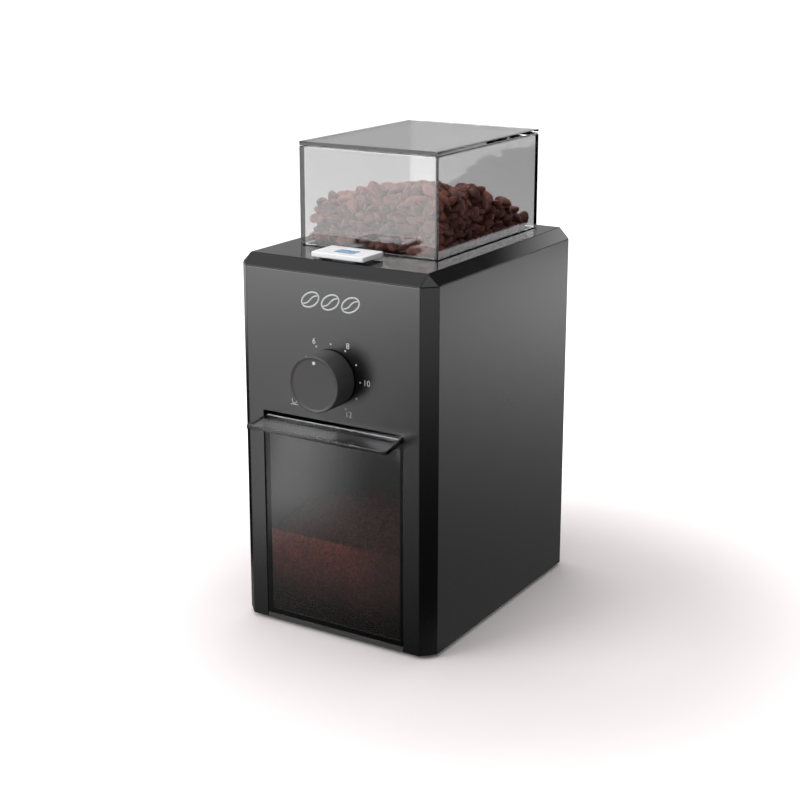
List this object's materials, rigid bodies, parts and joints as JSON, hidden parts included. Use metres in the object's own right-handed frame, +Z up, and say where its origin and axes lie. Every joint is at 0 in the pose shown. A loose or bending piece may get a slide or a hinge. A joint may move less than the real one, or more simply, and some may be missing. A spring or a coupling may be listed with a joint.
{
  "type": "burr coffee grinder",
  "caption": "Upright electric burr coffee grinder: clear bean hopper with lift-off lid on a chamfered box body, start button, quantity dial, clear pull-out container for ground coffee",
  "frame": {"origin": "the middle of the bottom of the bounding box, on the plane that the feet stand on", "axes": "+Z up; -Y is the front, where the dial and the container are; +X is the right side as the user faces the front, so it points to the right in a front view"},
  "size_m": [0.127, 0.1792, 0.26],
  "materials": {
    "housing": "satin moulded, dark grey",
    "gloss_black": "polished black",
    "clear_smoke": "clear, smoke tinted",
    "inner_plastic": "matt black",
    "knob_grey": "satin dark grey",
    "button_white": "white, soft gloss",
    "lens_blue": "tinted lens",
    "nylon": "natural nylon",
    "circuit_board": "green laminate",
    "rubber": "matt",
    "steel": "plain steel",
    "bronze": "sintered bronze",
    "copper": "enamelled copper",
    "ferrite": "dark ceramic and carbon"
  },
  "bodies": {
    "machine": {"main_housing": "housing", "base_plate": "inner_plastic", "cord_gland": "rubber", "top_deck": "gloss_black", "bean_hopper": "clear_smoke", "bean_funnel": "inner_plastic", "container_bay": "inner_plastic", "burr_chamber": "inner_plastic", "coffee_chute": "inner_plastic", "chassis": "inner_plastic", "burr_bush_lower": "bronze", "burr_bush_upper": "bronze", "motor_can": "steel", "motor_bush_top": "bronze", "motor_magnet_left": "ferrite", "motor_magnet_right": "ferrite", "motor_end_cap": "inner_plastic", "carbon_brush_left": "ferrite", "carbon_brush_right": "ferrite", "timer_board": "circuit_board", "potentiometer": "nylon", "timer_relay": "lens_blue", "switch_bracket": "steel", "start_switch": "inner_plastic", "button_spring": "steel", "board_screw_1": "steel", "board_screw_2": "steel", "leg_screw_left": "steel", "leg_screw_right": "steel", "foot_front_left": "rubber", "base_screw_front_left": "steel", "foot_front_right": "rubber", "base_screw_front_right": "steel", "foot_rear_left": "rubber", "base_screw_rear_left": "steel", "foot_rear_right": "rubber", "base_screw_rear_right": "steel"},
    "hopper_lid_body": {"hopper_lid": "clear_smoke"},
    "container_body": {"ground_container": "clear_smoke"},
    "burr_rotor": {"burr_shaft": "steel", "drive_gear": "nylon", "lower_burr_carrier": "steel", "lower_burr": "steel", "feed_auger": "steel", "auger_nut": "steel"},
    "armature": {"armature_core": "steel", "motor_shaft": "steel", "motor_pinion": "steel", "winding_top": "copper", "winding_bottom": "copper", "commutator": "copper", "cooling_fan": "nylon"},
    "upper_burr_unit": {"upper_burr_carrier": "inner_plastic", "upper_burr": "steel"},
    "adjuster": {"adjusting_ring": "nylon", "fineness_tab": "knob_grey"},
    "button_body": {"start_button": "button_white", "button_lens": "lens_blue"},
    "dial": {"quantity_knob": "knob_grey", "dial_shaft": "steel"}
  },
  "joints": [
    {"name": "lid_lift", "type": "slide", "parent": "machine", "child": "hopper_lid_body", "axis": [0, 0, 1], "range_m": [0, 0.06]},
    {"name": "container_slide", "type": "slide", "parent": "machine", "child": "container_body", "axis": [0, -1, 0], "range_m": [0, 0.1]},
    {"name": "motor_spin", "type": "hinge", "parent": "machine", "child": "armature", "pos_m": [0.00347, 0.04635, 0.1], "axis": [0, 0, 1], "continuous": true},
    {"name": "burr_spin", "type": "hinge", "parent": "machine", "child": "burr_rotor", "pos_m": [0.00347, 0.01935, 0.165], "axis": [0, 0, 1], "continuous": true},
    {"name": "lever_swing", "type": "hinge", "parent": "machine", "child": "adjuster", "pos_m": [0.00347, 0.01935, 0.1836], "axis": [0, 0, 1], "range_deg": [-12, 12]},
    {"name": "burr_rise", "type": "slide", "parent": "machine", "child": "upper_burr_unit", "axis": [0, 0, 1], "range_m": [-0.0004, 0.0004]},
    {"name": "button_press", "type": "slide", "parent": "machine", "child": "button_body", "axis": [0, 0, -1], "range_m": [0, 0.001], "stiffness_N_per_m": 500, "springref_m": -0.001, "deforming": ["button_spring"]},
    {"name": "dial_turn", "type": "hinge", "parent": "machine", "child": "dial", "pos_m": [0.00347, -0.07365, 0.145], "axis": [0, 1, 0], "range_deg": [-150, 150]}
  ],
  "couplings": [
    {"joint": "burr_spin", "follows": "motor_spin", "ratio": -0.25},
    {"joint": "burr_rise", "follows": "lever_swing", "m_per_rad": 0.0019099}
  ]
}
